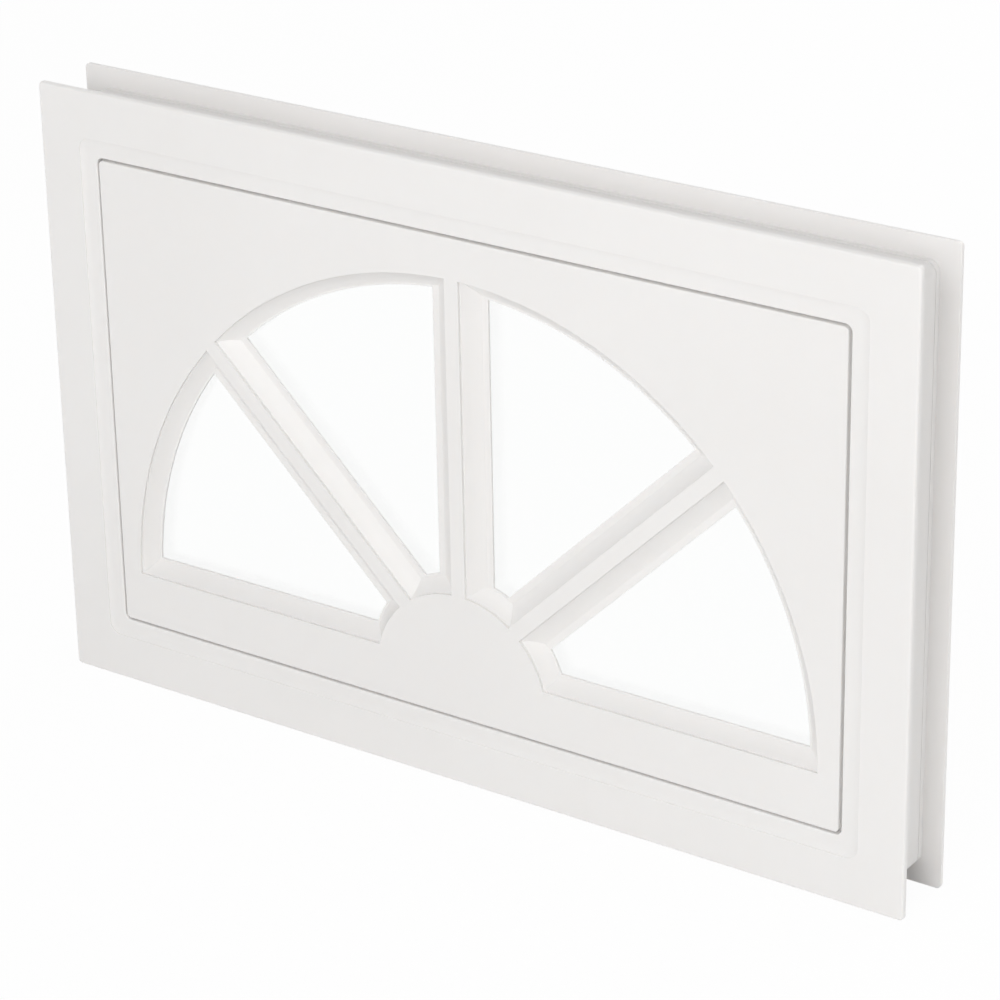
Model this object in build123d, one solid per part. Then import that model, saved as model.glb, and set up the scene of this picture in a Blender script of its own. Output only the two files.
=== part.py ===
from build123d import *
import math
import os

# Garage door window insert: an outside frame with a snap-in sunburst grille, a clear pane
# and an inside frame screwed to it through the door section.
# Millimetres. X runs to the right, Z up, and the street side faces -Y.
# The origin is on the floor, under the middle of the assembly.

# Overall frame
frame_width = 521.0
frame_height = 336.0
door_thickness = 35.0
flange_thickness = 3.0
flange_corner = 2.5
flange_edge_round = 1.4
assembly_depth = door_thickness + 2 * flange_thickness

# Wall that passes through the cut-out of the door
wall_inset = 11.0
wall_thickness = 2.5
wall_corner = 6.0
wall_split_gap = 0.4
inside_wall_length = 3.4

# Moulded step round the outside frame: a low edge, then a shallow cove down to the lip
step_inset = 25.6
step_width = 5.4
step_drop = 1.5
step_edge = 0.5
step_bulge = 0.35
step_corner = 7.0
step_backing = 2.0
lip_thickness = 2.6
lip_edge_round = 0.5

# Rebate that holds the grille
rebate_inset = 35.6
rebate_corner = 4.0
rebate_depth = 6.0
ledge_thickness = 2.5
ledge_overlap = 8.2

# Rim behind the ledge, with the foot that carries the glazing seal
rim_thickness = 2.4
foot_thickness = 1.5
foot_width = 7.0
foot_depth = 13.6

# Grille panel, which lies low and to the left in its rebate
grille_clearance = 1.3
grille_shift = -0.9
grille_drop = 0.6
grille_sink = 0.8
panel_thickness = 2.8
grille_edge_round = 0.8
fan_lip_thickness = 1.2

# Fanlight drawing
spring_height = 66.0
arch_radius = 211.5
hub_height = 53.4
hub_radius = 52.6
muntin_height = 60.7
muntin_flat = 8.2
muntin_angles = (-46.0, 0.0, 46.0)

# Moulding round each opening
quirk_depth = 1.7
quirk_width = 0.5
cove_width = 7.0
cove_bulge = 0.5
cove_depth = 7.8
opening_lip = 1.1
muntin_cove_width = 8.4
muntin_lip = 3.8
grille_wall = 2.0

# Snap hooks of the grille
hook_length = 12.0
hook_thickness = 1.5
hook_barb = 1.2
hook_barb_height = 1.6
hook_reach = 5.0
hook_setback = 1.7
hook_play = 0.3
hook_end_inset = 110.5

# Clear pane and its seal
pane_thickness = 3.0
pane_inset = 24.5
pane_corner = 3.0
seal_thickness = 1.0
seal_width = 6.0

# Inside frame
inside_slope_inset = 25.0
inside_opening_inset = 33.5
inside_corner = 5.0
inside_wall = 2.4
inside_foot_width = 5.0
inside_foot_thickness = 1.6

# Screws and their bosses, which have few sides because they repeat
screw_sides = 12
screw_inset = 18.6
screw_end_inset = 56.5
screw_side_inset = 106.0
screws_along = 4
screw_diameter = 3.6
screw_head_diameter = 7.4
screw_head_height = 2.1
screw_length = 30.0
screw_play = 0.3
pilot_play = 0.05
cross_width = 1.2
cross_length = 4.4
cross_depth = 1.3
boss_diameter = 8.4
boss_gap = 0.4
outside_boss_depth = 28.0

# Depths measured back from the front face of the outside flange
lip_depth = step_drop
grille_depth = lip_depth + grille_sink
ledge_back = rebate_depth + ledge_thickness
seal_back = foot_depth + seal_thickness
pane_back = seal_back + pane_thickness
inside_flange_front = flange_thickness + door_thickness
opening_inset = rebate_inset + ledge_overlap
moulding_width = quirk_width + cove_width + opening_lip
fan_depth = cove_depth + fan_lip_thickness
over = 1.0
middle_height = frame_height / 2


def plate(inset, corner, near, far):
    """A rounded rectangle, inset from the outer edge, between two depths."""
    outline = RectangleRounded(frame_width - 2 * inset, frame_height - 2 * inset, corner)
    return Pos(0, middle_height, -far) * extrude(outline, far - near)


def tapered_plate(near_inset, near, far_inset, far, corner):
    """A block whose inset changes evenly between two depths, with rounded slanting edges."""
    outline = Rectangle(frame_width - 2 * far_inset, frame_height - 2 * far_inset)
    taper = math.degrees(math.atan((near_inset - far_inset) / (far - near)))
    block = extrude(outline, far - near, taper=taper)
    slanting = [edge for edge in block.edges() if edge.vertices()[0].Z != edge.vertices()[1].Z]
    return Pos(0, middle_height, -far) * fillet(slanting, corner)


def ring(outer_inset, outer_corner, inner_inset, inner_corner, near, far):
    """A closed frame of constant section between two depths."""
    inner = plate(inner_inset, inner_corner, near - over, far + over)
    return plate(outer_inset, outer_corner, near, far) - inner


def pin(x, y, diameter, near, far):
    """A bar of many sides that runs from front to back."""
    return Pos(x, y, -far) * extrude(RegularPolygon(diameter / 2, screw_sides), far - near)


def run_round(inset, corner, section):
    """A section, drawn as distance inward and depth, run round a rounded rectangle."""
    outline = RectangleRounded(frame_width - 2 * inset, frame_height - 2 * inset, corner)
    path = (Pos(0, middle_height, 0) * outline).wire()
    along = path.tangent_at(0)
    inward = Vector(0, 0, 1).cross(along)
    if inward.dot(Vector(0, middle_height, 0) - path.position_at(0)) < 0:
        inward = -inward
        along = -along
    plane = Plane(origin=path.position_at(0), x_dir=inward, z_dir=along)
    return sweep(plane * section, path=path)


def screw_places():
    """The name and place of each screw, seen from the street side."""
    places = []
    end_column = frame_width / 2 - screw_end_inset
    spacing = 2 * end_column / (screws_along - 1)
    for number in range(screws_along):
        x = -end_column + number * spacing
        places.append((f"top_{number + 1}", x, frame_height - screw_inset))
        places.append((f"bottom_{number + 1}", x, screw_inset))
    side_column = frame_width / 2 - screw_inset
    for number, y in enumerate((screw_side_inset, frame_height - screw_side_inset), start=1):
        places.append((f"left_{number}", -side_column, y))
        places.append((f"right_{number}", side_column, y))
    return places


def hook_places():
    """Middle and direction of each snap hook, on the line that the hooks follow."""
    line = rebate_inset + grille_clearance + hook_setback
    end_column = frame_width / 2 - hook_end_inset
    side_column = frame_width / 2 - line
    places = []
    for x in (-end_column, 0, end_column):
        places.append((x, frame_height - line, 0))
        places.append((x, line, 180))
    places.append((side_column, middle_height, -90))
    places.append((-side_column, middle_height, 90))
    return places


def rim_edges(solid, inset, corner, depth):
    """The edges of a solid that follow a rounded rectangle at one depth."""
    slack = 0.01
    rim = []
    for edge in solid.edges().filter_by_position(Axis.Z, -depth - slack, -depth + slack):
        middle = edge.position_at(0.5)
        from_side = frame_width / 2 - abs(middle.X)
        from_end = frame_height / 2 - abs(middle.Y - middle_height)
        if inset - slack < min(from_side, from_end) < inset + corner / 2:
            rim.append(edge)
    return rim


def upright(solid):
    """Stands a piece up: its face turns to -Y and the middle of the depth comes to the origin."""
    return Pos(0, -assembly_depth / 2, 0) * (Rot(90, 0, 0) * solid)


def outside_frame():
    flange = plate(0, flange_corner, 0, flange_thickness)
    flange = fillet(rim_edges(flange, 0, flange_corner, 0), flange_edge_round)
    wall_end = inside_flange_front - inside_wall_length - wall_split_gap
    wall = ring(
        wall_inset, wall_corner,
        wall_inset + wall_thickness, wall_corner - wall_thickness,
        flange_thickness - over, wall_end,
    )
    lip = plate(
        step_inset - step_backing, step_corner,
        flange_thickness - over, lip_depth + lip_thickness,
    )
    ledge = plate(
        rebate_inset - wall_thickness, rebate_corner + wall_thickness,
        lip_depth + over, ledge_back,
    )
    rim = plate(opening_inset - rim_thickness, rebate_corner, ledge_back - over, foot_depth)
    foot = plate(opening_inset - foot_width, rebate_corner, foot_depth - foot_thickness, foot_depth)
    frame = flange + wall + lip + ledge + rim + foot
    for _, x, y in screw_places():
        frame += pin(x, y, boss_diameter, flange_thickness - over, outside_boss_depth)
    frame -= run_round(step_inset, step_corner, step_section())
    frame -= plate(
        step_inset + step_width, step_corner - step_width, -over, step_drop,
    )
    frame -= plate(rebate_inset, rebate_corner, -over, rebate_depth)
    frame = fillet(rim_edges(frame, rebate_inset, rebate_corner, lip_depth), lip_edge_round)
    frame -= plate(opening_inset, rebate_corner, -over, foot_depth + over)
    for _, x, y in screw_places():
        hole_end = inside_flange_front + flange_thickness - screw_length - over
        frame -= pin(x, y, screw_diameter + 2 * pilot_play, hole_end, outside_boss_depth + over)
    slot_depth = hook_thickness + hook_barb + 2 * hook_play
    slot_middle = (hook_barb - hook_thickness) / 2
    for x, y, turn in hook_places():
        slot = Pos(0, slot_middle, -(rebate_depth + ledge_back) / 2) * Box(
            hook_length + 4 * hook_play, slot_depth, ledge_thickness + 2 * over
        )
        frame -= Pos(x + grille_shift, y - grille_drop, 0) * Rot(0, 0, turn) * slot
    return frame


def step_section():
    """The low edge and the shallow cove of the moulded step, closed over the face."""
    middle = (step_width / 2, -(step_edge + step_drop) / 2 - step_bulge)
    edge = Polyline((step_width, over), (0, over), (0, -step_edge))
    cove = ThreePointArc((0, -step_edge), middle, (step_width, -step_drop))
    return make_face(edge + cove + Line((step_width, -step_drop), (step_width, over)))


def moulding_section(edge, side, cove_run, lip, inner):
    """The moulding's section from its flat edge to the line named inner, closed over the face."""
    quirk_end = edge + side * quirk_width
    cove_end = quirk_end + side * cove_run
    lip_end = cove_end + side * lip
    chord = math.hypot(cove_run, cove_depth - quirk_depth)
    bulge_x = -side * cove_bulge * (cove_depth - quirk_depth) / chord
    bulge_z = -cove_bulge * cove_run / chord
    middle = (
        (quirk_end + cove_end) / 2 + bulge_x,
        -(quirk_depth + cove_depth) / 2 + bulge_z,
    )
    back = -fan_depth - over
    top = Polyline((inner, over), (edge, over), (edge, -quirk_depth), (quirk_end, -quirk_depth))
    cove = ThreePointArc((quirk_end, -quirk_depth), middle, (cove_end, -cove_depth))
    rest = Polyline(
        (cove_end, -cove_depth), (lip_end, -cove_depth), (lip_end, back), (inner, back),
        (inner, over),
    )
    return make_face(top + cove + rest)


def wall_behind(cove_run, depth):
    """How far in from the flat edge the back of the moulding's wall lies at a depth."""
    fall = cove_depth - quirk_depth
    chord = math.hypot(cove_run, fall)
    start = quirk_width - grille_wall * fall / chord
    start_depth = quirk_depth + grille_wall * cove_run / chord
    return start + (depth - start_depth) * cove_run / fall


def turned(section, height):
    """A section turned about the axis of the fan at one height."""
    upright_section = Plane.XZ * section
    axis = Axis((0, 0, 0), (0, 0, 1))
    return Pos(0, height, 0) * revolve(upright_section, axis)


def along_x(section, length):
    """A section, drawn as height and depth, run along X."""
    plane = Plane(origin=(-length / 2, 0, 0), x_dir=(0, 1, 0), z_dir=(1, 0, 0))
    return extrude(plane * section, length)


def muntin(section, length, angle):
    """A section across X run up from where the muntins meet and swung to its angle."""
    plane = Plane(origin=(0, 0, 0), x_dir=(1, 0, 0), z_dir=(0, -1, 0))
    bar = extrude(plane * section, -length)
    return Pos(0, muntin_height, 0) * (Rot(0, 0, -angle) * bar)


def muntin_form(angle):
    half = moulding_section(muntin_flat / 2, 1, muntin_cove_width, muntin_lip, 0)
    whole = half + mirror(half, Plane.YZ)
    past_arch = arch_radius + abs(spring_height - muntin_height) + over
    return muntin(whole, past_arch, angle)


def muntin_hollow(angle):
    """The space behind a muntin, open to the back."""
    back = -fan_depth - over
    top = muntin_flat / 2 + wall_behind(muntin_cove_width, panel_thickness)
    base = muntin_flat / 2 + wall_behind(muntin_cove_width, -back)
    section = make_face(
        Polyline(
            (-top, -panel_thickness), (top, -panel_thickness),
            (base, back), (-base, back), (-top, -panel_thickness),
        )
    )
    length = arch_radius - moulding_width - grille_wall
    return muntin(section, length, angle)


def fan_openings():
    """The space in front of and through the four openings of the fan."""
    arch = moulding_section(arch_radius, -1, cove_width, opening_lip, 0)
    bowl = turned(arch, spring_height)
    hub = turned(moulding_section(hub_radius, 1, cove_width, opening_lip, 0), hub_height)
    edge = moulding_section(spring_height, 1, cove_width, opening_lip, 0)
    sill = along_x(edge, frame_width)
    space = bowl - sill - hub
    for angle in muntin_angles:
        space -= muntin_form(angle)
    return space


def fan_backing():
    """The thick zone behind the panel, which the openings are cut from."""
    wall_front = wall_behind(cove_width, panel_thickness)
    wall_back = wall_behind(cove_width, fan_depth)
    radius_front = arch_radius - wall_front
    radius_back = arch_radius - wall_back
    section = make_face(
        Polyline(
            (0, -panel_thickness / 2), (radius_front, -panel_thickness / 2),
            (radius_front, -panel_thickness), (radius_back, -fan_depth),
            (0, -fan_depth), (0, -panel_thickness / 2),
        )
    )
    sill_front = spring_height + wall_front
    sill_back = spring_height + wall_back
    foot = sill_front - 2 * arch_radius
    below = make_face(
        Polyline(
            (foot, over), (sill_front, over), (sill_front, -panel_thickness),
            (sill_back, -fan_depth), (sill_back, -fan_depth - over),
            (foot, -fan_depth - over), (foot, over),
        )
    )
    return turned(section, spring_height) - along_x(below, frame_width)


def hub_hollow():
    """The space behind the hub, open to the back."""
    front = hub_radius + wall_behind(cove_width, panel_thickness)
    back = hub_radius + wall_behind(cove_width, fan_depth)
    section = make_face(
        Polyline(
            (0, -panel_thickness), (front, -panel_thickness), (back, -fan_depth),
            (back, -fan_depth - over), (0, -fan_depth - over), (0, -panel_thickness),
        )
    )
    return turned(section, hub_height)


def snap_hook():
    """One hook behind the rim of the panel, with its barb towards the frame."""
    root = rebate_depth - grille_depth
    stem = Pos(0, 0, -(panel_thickness / 2 + root + hook_reach) / 2) * Box(
        hook_length, hook_thickness, root + hook_reach - panel_thickness / 2
    )
    catch = ledge_back - grille_depth + hook_play
    half = hook_thickness / 2
    barb = make_face(
        Polyline(
            (half - over, -catch), (half + hook_barb, -catch),
            (half, -catch - hook_barb_height), (half - over, -catch - hook_barb_height),
            (half - over, -catch),
        )
    )
    return stem + along_x(barb, hook_length)


def sunburst_grille():
    inset = rebate_inset + grille_clearance
    corner = rebate_corner - grille_clearance
    panel = plate(inset, corner, 0, panel_thickness)
    panel = fillet(rim_edges(panel, inset, corner, 0), grille_edge_round)
    seat = ring(
        inset, corner, inset + ledge_overlap - grille_clearance, corner,
        panel_thickness - over, rebate_depth - grille_depth,
    )
    grille = panel + seat + fan_backing()
    grille -= fan_openings()
    grille -= hub_hollow()
    for angle in muntin_angles:
        grille -= muntin_hollow(angle)
    for x, y, turn in hook_places():
        grille += Pos(x, y, 0) * (Rot(0, 0, turn) * snap_hook())
    return Pos(grille_shift, -grille_drop, -grille_depth) * grille


def clear_pane():
    return plate(pane_inset, pane_corner, seal_back, pane_back)


def seal_strips():
    """Four strips of glazing seal between the foot and the pane, by name."""
    inset = opening_inset - foot_width + (foot_width - seal_width) / 2
    wide = frame_width - 2 * inset
    high = frame_height - 2 * inset
    depth = -(foot_depth + seal_back) / 2
    level = Box(wide, seal_width, seal_thickness)
    side = Box(seal_width, high - 2 * seal_width, seal_thickness)
    across = (high - seal_width) / 2
    along = (wide - seal_width) / 2
    return {
        "glazing_seal_top": Pos(0, middle_height + across, depth) * level,
        "glazing_seal_bottom": Pos(0, middle_height - across, depth) * level,
        "glazing_seal_left": Pos(-along, middle_height, depth) * side,
        "glazing_seal_right": Pos(along, middle_height, depth) * side,
    }


def inside_frame():
    back = assembly_depth
    flange = plate(0, flange_corner, inside_flange_front, back)
    flange = fillet(rim_edges(flange, 0, flange_corner, back), flange_edge_round)
    wall = ring(
        wall_inset, wall_corner,
        wall_inset + wall_thickness, wall_corner - wall_thickness,
        inside_flange_front - inside_wall_length, inside_flange_front + over,
    )
    slope = tapered_plate(
        inside_opening_inset - inside_wall, pane_back,
        inside_slope_inset - inside_wall, back, inside_corner + inside_wall,
    )
    foot = plate(
        inside_opening_inset - inside_foot_width, inside_corner + inside_foot_width,
        pane_back, pane_back + inside_foot_thickness,
    )
    frame = flange + wall + slope + foot
    for _, x, y in screw_places():
        frame += pin(x, y, boss_diameter, outside_boss_depth + boss_gap, inside_flange_front + over)
    frame -= tapered_plate(
        inside_opening_inset, pane_back, inside_slope_inset, back, inside_corner,
    )
    for _, x, y in screw_places():
        frame -= screw_blank(x, y, screw_play, outside_boss_depth)
    return frame


def screw_blank(x, y, play, near):
    """A countersunk screw's outline from a depth to the back face, with play round the shank."""
    shank = pin(x, y, screw_diameter + 2 * play, near, assembly_depth)
    flat_share = math.cos(math.pi / screw_sides)
    narrowing = flat_share * (screw_head_diameter - screw_diameter) / 2
    taper = math.degrees(math.atan(narrowing / screw_head_height))
    top = RegularPolygon(screw_head_diameter / 2, screw_sides)
    head = extrude(top, screw_head_height, taper=taper)
    return shank + Pos(x, y, -assembly_depth) * head


def screw(x, y):
    solid = screw_blank(x, y, 0, assembly_depth - screw_length)
    recess = Box(cross_length, cross_width, 2 * cross_depth)
    recess += Box(cross_width, cross_length, 2 * cross_depth)
    return solid - Pos(x, y, -assembly_depth) * recess


pieces = {
    "outside_frame": outside_frame(),
    "sunburst_grille": sunburst_grille(),
    "clear_pane": clear_pane(),
    "inside_frame": inside_frame(),
}
pieces.update(seal_strips())
for place, x, y in screw_places():
    pieces[f"screw_{place}"] = screw(x, y)

os.makedirs("parts", exist_ok=True)
for name, solid in pieces.items():
    export_step(upright(solid), f"parts/{name}.step")
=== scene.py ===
import math

import bmesh
import bpy
from mathutils import Matrix, Vector

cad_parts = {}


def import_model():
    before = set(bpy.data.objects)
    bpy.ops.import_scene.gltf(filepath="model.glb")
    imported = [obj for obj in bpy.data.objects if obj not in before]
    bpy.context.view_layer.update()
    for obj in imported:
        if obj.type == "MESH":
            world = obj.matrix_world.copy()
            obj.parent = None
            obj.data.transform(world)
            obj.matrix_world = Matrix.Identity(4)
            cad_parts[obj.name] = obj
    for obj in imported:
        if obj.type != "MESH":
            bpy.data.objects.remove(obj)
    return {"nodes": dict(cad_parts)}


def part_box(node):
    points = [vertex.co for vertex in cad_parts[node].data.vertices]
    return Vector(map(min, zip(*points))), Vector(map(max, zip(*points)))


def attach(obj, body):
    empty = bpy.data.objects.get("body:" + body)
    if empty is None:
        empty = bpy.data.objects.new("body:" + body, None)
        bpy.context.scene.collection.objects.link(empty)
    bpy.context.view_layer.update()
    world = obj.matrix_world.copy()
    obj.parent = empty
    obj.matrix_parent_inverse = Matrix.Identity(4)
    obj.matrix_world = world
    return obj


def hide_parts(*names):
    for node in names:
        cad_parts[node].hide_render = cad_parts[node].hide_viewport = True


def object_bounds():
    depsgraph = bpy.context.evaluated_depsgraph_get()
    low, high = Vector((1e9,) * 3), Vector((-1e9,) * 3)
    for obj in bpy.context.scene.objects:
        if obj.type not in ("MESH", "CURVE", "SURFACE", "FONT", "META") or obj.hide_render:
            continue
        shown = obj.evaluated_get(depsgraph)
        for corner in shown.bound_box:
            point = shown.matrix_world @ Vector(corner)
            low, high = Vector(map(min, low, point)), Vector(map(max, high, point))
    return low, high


# Looks of the garage door window insert: materials, polished pane, floor, light and camera.
# Metres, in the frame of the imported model. The street side faces -Y.

# Colours, as linear values
plastic_white = (0.862, 0.849, 0.838)
plastic_shade = (0.846, 0.832, 0.820)
pane_tint = (0.990, 0.996, 0.993)
seal_grey = (0.78, 0.78, 0.77)
seal_dark = (0.64, 0.64, 0.63)
screw_white = (0.80, 0.79, 0.78)
screw_steel = (0.46, 0.45, 0.43)
floor_colour = (0.93, 0.93, 0.925)

# Moulded plastic
plastic_roughness = (0.34, 0.44)
plastic_specular = 0.42
plastic_ior = 1.49
grain_scale = 1900.0
grain_height = 0.00001
ripple_scale = 95.0
ripple_height = 0.00006
tint_scale = 7.0
plastic_depth_weight = 0.4
plastic_depth = 0.0012
plastic_depth_colour = (1.0, 0.95, 0.9)

# Procedural noise: how many layers, how rough, and the share of its range in use
cloudy_layers = 4.0
plain_layers = 3.0
smooth_layers = 2.0
plain_noise = 0.5
rough_noise = 0.6
noise_range = (0.3, 0.7)
blend_range = (0.35, 0.65)

# Clear pane
pane_ior = 1.49
pane_roughness = 0.006
pane_play = 0.0001
pane_corner = 0.003
pane_corner_steps = 6
pane_arris = 0.0004
pane_arris_steps = 2
round_profile = 0.5

# Foam tape
foam_cell_scale = 1400.0
foam_cell_noise = 0.65
foam_cell_depth = 0.0003
foam_roughness = 0.86

# Painted screws
wear_scale = 900.0
wear_depth = 0.00002
screw_roughness = (0.28, 0.46)

# Light
world_level = 0.505
key_power = 16.5
key_size = 1.2
key_place = (0.35, -1.75, 1.05)
side_power = 4.6
side_size = 1.2
side_place = (1.9, -0.25, 0.9)
back_power = 16.3
back_size = 1.6
back_place = (0.5, 1.9, 1.3)

# Camera
camera_azimuth = 35.242
camera_elevation = 23.853
camera_roll = -1.0885
camera_distance = 1.8964
camera_aim = (0.01347, 0.0, 0.1560)
camera_sensor = 36.0
camera_focus_pixels = 3765.5
camera_near = 0.01
camera_far = 100.0
image_width = 1000.0

# Floor
floor_size = 30.0
floor_white_share = 0.96
floor_roughness = 0.9
floor_specular = 0.1


def new_material(name):
    """An empty node material and its Principled shader."""
    material = bpy.data.materials.new(name)
    material.use_nodes = True
    tree = material.node_tree
    tree.nodes.clear()
    output = tree.nodes.new("ShaderNodeOutputMaterial")
    shader = tree.nodes.new("ShaderNodeBsdfPrincipled")
    tree.links.new(shader.outputs["BSDF"], output.inputs["Surface"])
    return material, tree, shader


def noise(tree, scale, detail=plain_layers, roughness=plain_noise):
    """Noise in the object's own metres."""
    place = tree.nodes.new("ShaderNodeTexCoord")
    texture = tree.nodes.new("ShaderNodeTexNoise")
    texture.inputs["Scale"].default_value = scale
    texture.inputs["Detail"].default_value = detail
    texture.inputs["Roughness"].default_value = roughness
    tree.links.new(place.outputs["Object"], texture.inputs["Vector"])
    return texture.outputs["Fac"]


def spread(tree, source, low, high):
    """Maps a 0 to 1 value to a range."""
    node = tree.nodes.new("ShaderNodeMapRange")
    node.inputs["From Min"].default_value = noise_range[0]
    node.inputs["From Max"].default_value = noise_range[1]
    node.inputs["To Min"].default_value = low
    node.inputs["To Max"].default_value = high
    tree.links.new(source, node.inputs["Value"])
    return node.outputs["Result"]


def two_tone(tree, source, first, second):
    """Blends two colours by a 0 to 1 value."""
    node = tree.nodes.new("ShaderNodeValToRGB")
    for stop, place, colour in zip(node.color_ramp.elements, blend_range, (first, second)):
        stop.position = place
        stop.color = (*colour, 1.0)
    tree.links.new(source, node.inputs["Fac"])
    return node.outputs["Color"]


def bump(tree, source, height, below=None):
    """A bump of a real height in metres, laid over another where one is given."""
    node = tree.nodes.new("ShaderNodeBump")
    node.inputs["Distance"].default_value = height
    tree.links.new(source, node.inputs["Height"])
    if below is not None:
        tree.links.new(below, node.inputs["Normal"])
    return node.outputs["Normal"]


def white_plastic():
    """Satin moulded plastic with a fine grain and the faint ripple of a large moulding."""
    material, tree, shader = new_material("white_plastic_satin")
    tint = two_tone(tree, noise(tree, tint_scale, cloudy_layers), plastic_shade, plastic_white)
    tree.links.new(tint, shader.inputs["Base Color"])
    gloss = spread(tree, noise(tree, ripple_scale, cloudy_layers), *plastic_roughness)
    tree.links.new(gloss, shader.inputs["Roughness"])
    shader.inputs["Specular IOR Level"].default_value = plastic_specular
    shader.inputs["IOR"].default_value = plastic_ior
    shader.inputs["Subsurface Weight"].default_value = plastic_depth_weight
    shader.inputs["Subsurface Radius"].default_value = plastic_depth_colour
    shader.inputs["Subsurface Scale"].default_value = plastic_depth
    ripple = bump(tree, noise(tree, ripple_scale, smooth_layers), ripple_height)
    grain_noise = noise(tree, grain_scale, smooth_layers, rough_noise)
    grain = bump(tree, grain_noise, grain_height, ripple)
    tree.links.new(grain, shader.inputs["Normal"])
    return material


def clear_pane():
    """Clear glazing that shows what lies behind it."""
    material, tree, shader = new_material("clear_pane_polished")
    shader.inputs["Base Color"].default_value = (*pane_tint, 1.0)
    shader.inputs["Transmission Weight"].default_value = 1.0
    shader.inputs["IOR"].default_value = pane_ior
    gloss = spread(tree, noise(tree, ripple_scale), 0.0, pane_roughness)
    tree.links.new(gloss, shader.inputs["Roughness"])
    return material


def polished_pane(material):
    """The pane with eased edges, a hair thinner than its seat so that air lies on both faces."""
    low, high = (Vector(corner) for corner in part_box("clear_pane"))
    play = Vector((0.0, pane_play, 0.0))
    size = high - low - 2 * play
    place = (low + high) / 2
    solid = bmesh.new()
    bmesh.ops.create_cube(solid, size=1.0)
    for vertex in solid.verts:
        vertex.co = place + Vector(part * side for part, side in zip(vertex.co, size))
    through = [edge for edge in solid.edges if abs((edge.verts[0].co - edge.verts[1].co).y) > 0]
    bmesh.ops.bevel(
        solid, geom=through, offset=pane_corner, segments=pane_corner_steps,
        profile=round_profile, affect="EDGES",
    )
    rims = [edge for edge in solid.edges if (edge.verts[0].co - edge.verts[1].co).y == 0]
    bmesh.ops.bevel(
        solid, geom=rims, offset=pane_arris, segments=pane_arris_steps,
        profile=round_profile, affect="EDGES",
    )
    mesh = bpy.data.meshes.new("polished_pane")
    solid.to_mesh(mesh)
    solid.free()
    mesh.materials.append(material)
    piece = bpy.data.objects.new("polished_pane", mesh)
    bpy.context.scene.collection.objects.link(piece)
    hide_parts("clear_pane")
    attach(piece, "root")


def foam_seal():
    """Closed-cell foam tape with open pores along its cut edge."""
    material, tree, shader = new_material("foam_seal_cells")
    cells = noise(tree, foam_cell_scale, cloudy_layers, foam_cell_noise)
    tree.links.new(two_tone(tree, cells, seal_dark, seal_grey), shader.inputs["Base Color"])
    shader.inputs["Roughness"].default_value = foam_roughness
    tree.links.new(bump(tree, cells, foam_cell_depth), shader.inputs["Normal"])
    return material


def painted_screw():
    """White painted steel, rubbed through to metal at the driver recess."""
    material, tree, shader = new_material("painted_screw_white")
    wear = noise(tree, wear_scale, cloudy_layers, rough_noise)
    edges = tree.nodes.new("ShaderNodeNewGeometry")
    worn = tree.nodes.new("ShaderNodeMath")
    worn.operation = "MULTIPLY"
    tree.links.new(edges.outputs["Pointiness"], worn.inputs[0])
    tree.links.new(wear, worn.inputs[1])
    bare = spread(tree, worn.outputs["Value"], 0.0, 1.0)
    tree.links.new(two_tone(tree, bare, screw_white, screw_steel), shader.inputs["Base Color"])
    tree.links.new(bare, shader.inputs["Metallic"])
    tree.links.new(spread(tree, wear, *screw_roughness), shader.inputs["Roughness"])
    tree.links.new(bump(tree, wear, wear_depth), shader.inputs["Normal"])
    return material


def dress(names, material):
    """Gives nodes one material in every slot."""
    for name in names:
        node = frame["nodes"][name]
        if not node.material_slots:
            node.data.materials.append(material)
        for place in node.material_slots:
            place.material = material


def seen_rays(tree):
    """One for the rays that show the background: camera, glossy and transmission rays."""
    path = tree.nodes.new("ShaderNodeLightPath")
    total = path.outputs["Is Camera Ray"]
    for ray in ("Is Glossy Ray", "Is Transmission Ray"):
        node = tree.nodes.new("ShaderNodeMath")
        node.operation = "MAXIMUM"
        tree.links.new(total, node.inputs[0])
        tree.links.new(path.outputs[ray], node.inputs[1])
        total = node.outputs["Value"]
    return total


def floor():
    """A pale floor that reads as white and keeps the object's shadow."""
    bpy.ops.mesh.primitive_plane_add(size=floor_size, location=(0.0, 0.0, 0.0))
    ground = bpy.context.object
    ground.name = "studio_floor"
    material, tree, shader = new_material("floor_pale")
    shader.inputs["Base Color"].default_value = (*floor_colour, 1.0)
    shader.inputs["Roughness"].default_value = floor_roughness
    shader.inputs["Specular IOR Level"].default_value = floor_specular
    white = tree.nodes.new("ShaderNodeEmission")
    mixed = tree.nodes.new("ShaderNodeMixShader")
    share = tree.nodes.new("ShaderNodeMath")
    share.operation = "MULTIPLY"
    share.inputs[1].default_value = floor_white_share
    tree.links.new(seen_rays(tree), share.inputs[0])
    tree.links.new(share.outputs["Value"], mixed.inputs["Fac"])
    tree.links.new(shader.outputs["BSDF"], mixed.inputs[1])
    tree.links.new(white.outputs["Emission"], mixed.inputs[2])
    output = next(node for node in tree.nodes if node.type == "OUTPUT_MATERIAL")
    tree.links.new(mixed.outputs["Shader"], output.inputs["Surface"])
    ground.data.materials.append(material)


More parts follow.
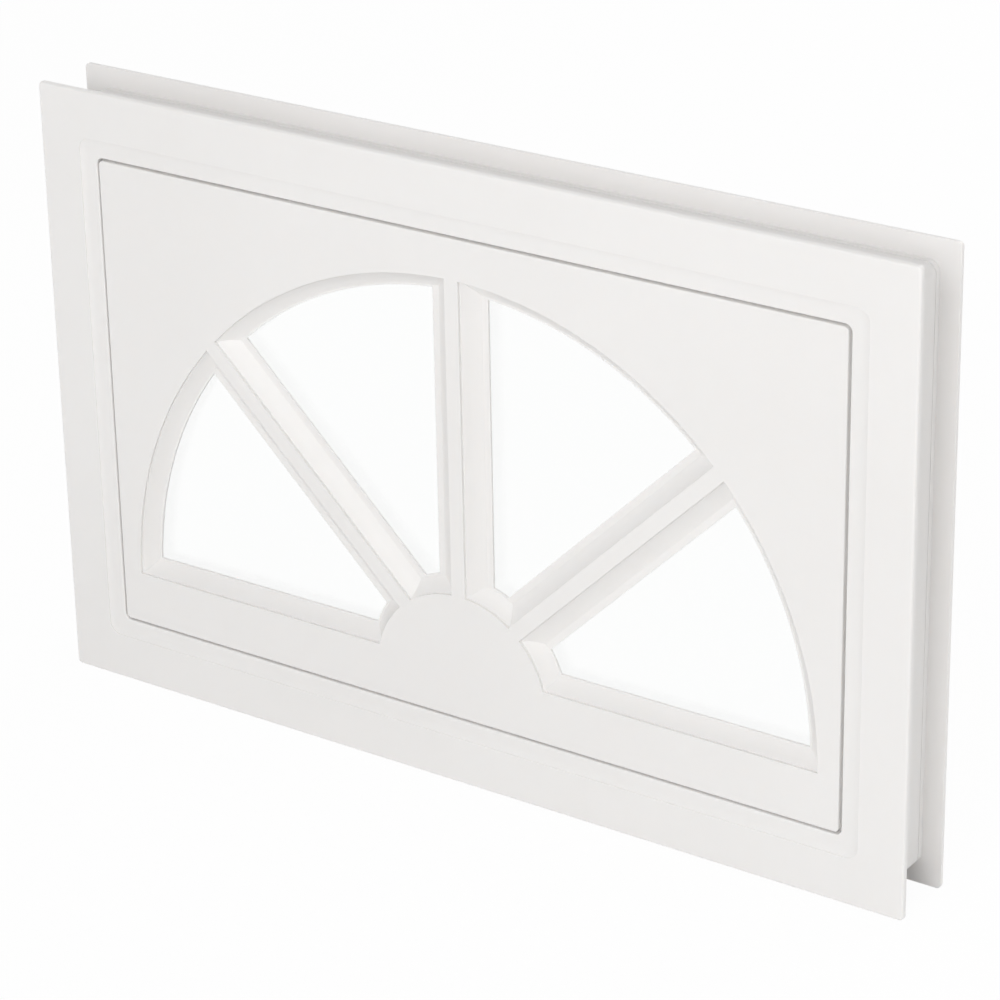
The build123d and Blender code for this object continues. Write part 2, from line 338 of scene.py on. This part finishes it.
def world():
    """White where it is seen, and an even soft light elsewhere."""
    sky = bpy.data.worlds.new("studio")
    bpy.context.scene.world = sky
    sky.use_nodes = True
    tree = sky.node_tree
    tree.nodes.clear()
    output = tree.nodes.new("ShaderNodeOutputWorld")
    back = tree.nodes.new("ShaderNodeBackground")
    back.inputs["Color"].default_value = (1.0, 1.0, 1.0, 1.0)
    level = tree.nodes.new("ShaderNodeMapRange")
    level.inputs["To Min"].default_value = world_level
    level.inputs["To Max"].default_value = 1.0
    tree.links.new(seen_rays(tree), level.inputs["Value"])
    tree.links.new(level.outputs["Result"], back.inputs["Strength"])
    tree.links.new(back.outputs["Background"], output.inputs["Surface"])


def lamp(name, place, size, power, target):
    """A square soft lamp turned to the object."""
    data = bpy.data.lights.new(name, "AREA")
    data.shape = "SQUARE"
    data.size = size
    data.energy = power
    item = bpy.data.objects.new(name, data)
    bpy.context.scene.collection.objects.link(item)
    item.location = place
    item.rotation_mode = "QUATERNION"
    item.rotation_quaternion = (Vector(target) - Vector(place)).to_track_quat("-Z", "Y")


def camera():
    """The camera of the photograph, by its direction, its roll and what it aims at."""
    azimuth = math.radians(camera_azimuth)
    elevation = math.radians(camera_elevation)
    back = Vector((
        math.sin(azimuth) * math.cos(elevation),
        -math.cos(azimuth) * math.cos(elevation),
        math.sin(elevation),
    ))
    data = bpy.data.cameras.new("photo_camera")
    data.sensor_width = camera_sensor
    data.lens = camera_focus_pixels * camera_sensor / image_width
    data.clip_start = camera_near
    data.clip_end = camera_far
    item = bpy.data.objects.new("photo_camera", data)
    bpy.context.scene.collection.objects.link(item)
    item.location = Vector(camera_aim) + back * camera_distance
    item.rotation_mode = "QUATERNION"
    turn = (-back).to_track_quat("-Z", "Y").to_matrix()
    roll = Matrix.Rotation(math.radians(camera_roll), 3, "Z")
    item.rotation_quaternion = (turn @ roll).to_quaternion()
    bpy.context.scene.camera = item


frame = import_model()
cad_low, cad_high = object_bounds()
middle = (cad_low + cad_high) / 2

nodes = sorted(frame["nodes"])
screws = [name for name in nodes if name.startswith("screw_")]
seals = [name for name in nodes if name.startswith("glazing_seal_")]
dress(["outside_frame", "inside_frame", "sunburst_grille"], white_plastic())
pane_glass = clear_pane()
dress(["clear_pane"], pane_glass)
polished_pane(pane_glass)
dress(seals, foam_seal())
dress(screws, painted_screw())

floor()
world()
lamp("key_lamp", key_place, key_size, key_power, middle)
lamp("side_lamp", side_place, side_size, side_power, middle)
lamp("back_lamp", back_place, back_size, back_power, middle)
camera()
bpy.context.scene.view_settings.view_transform = "Standard"
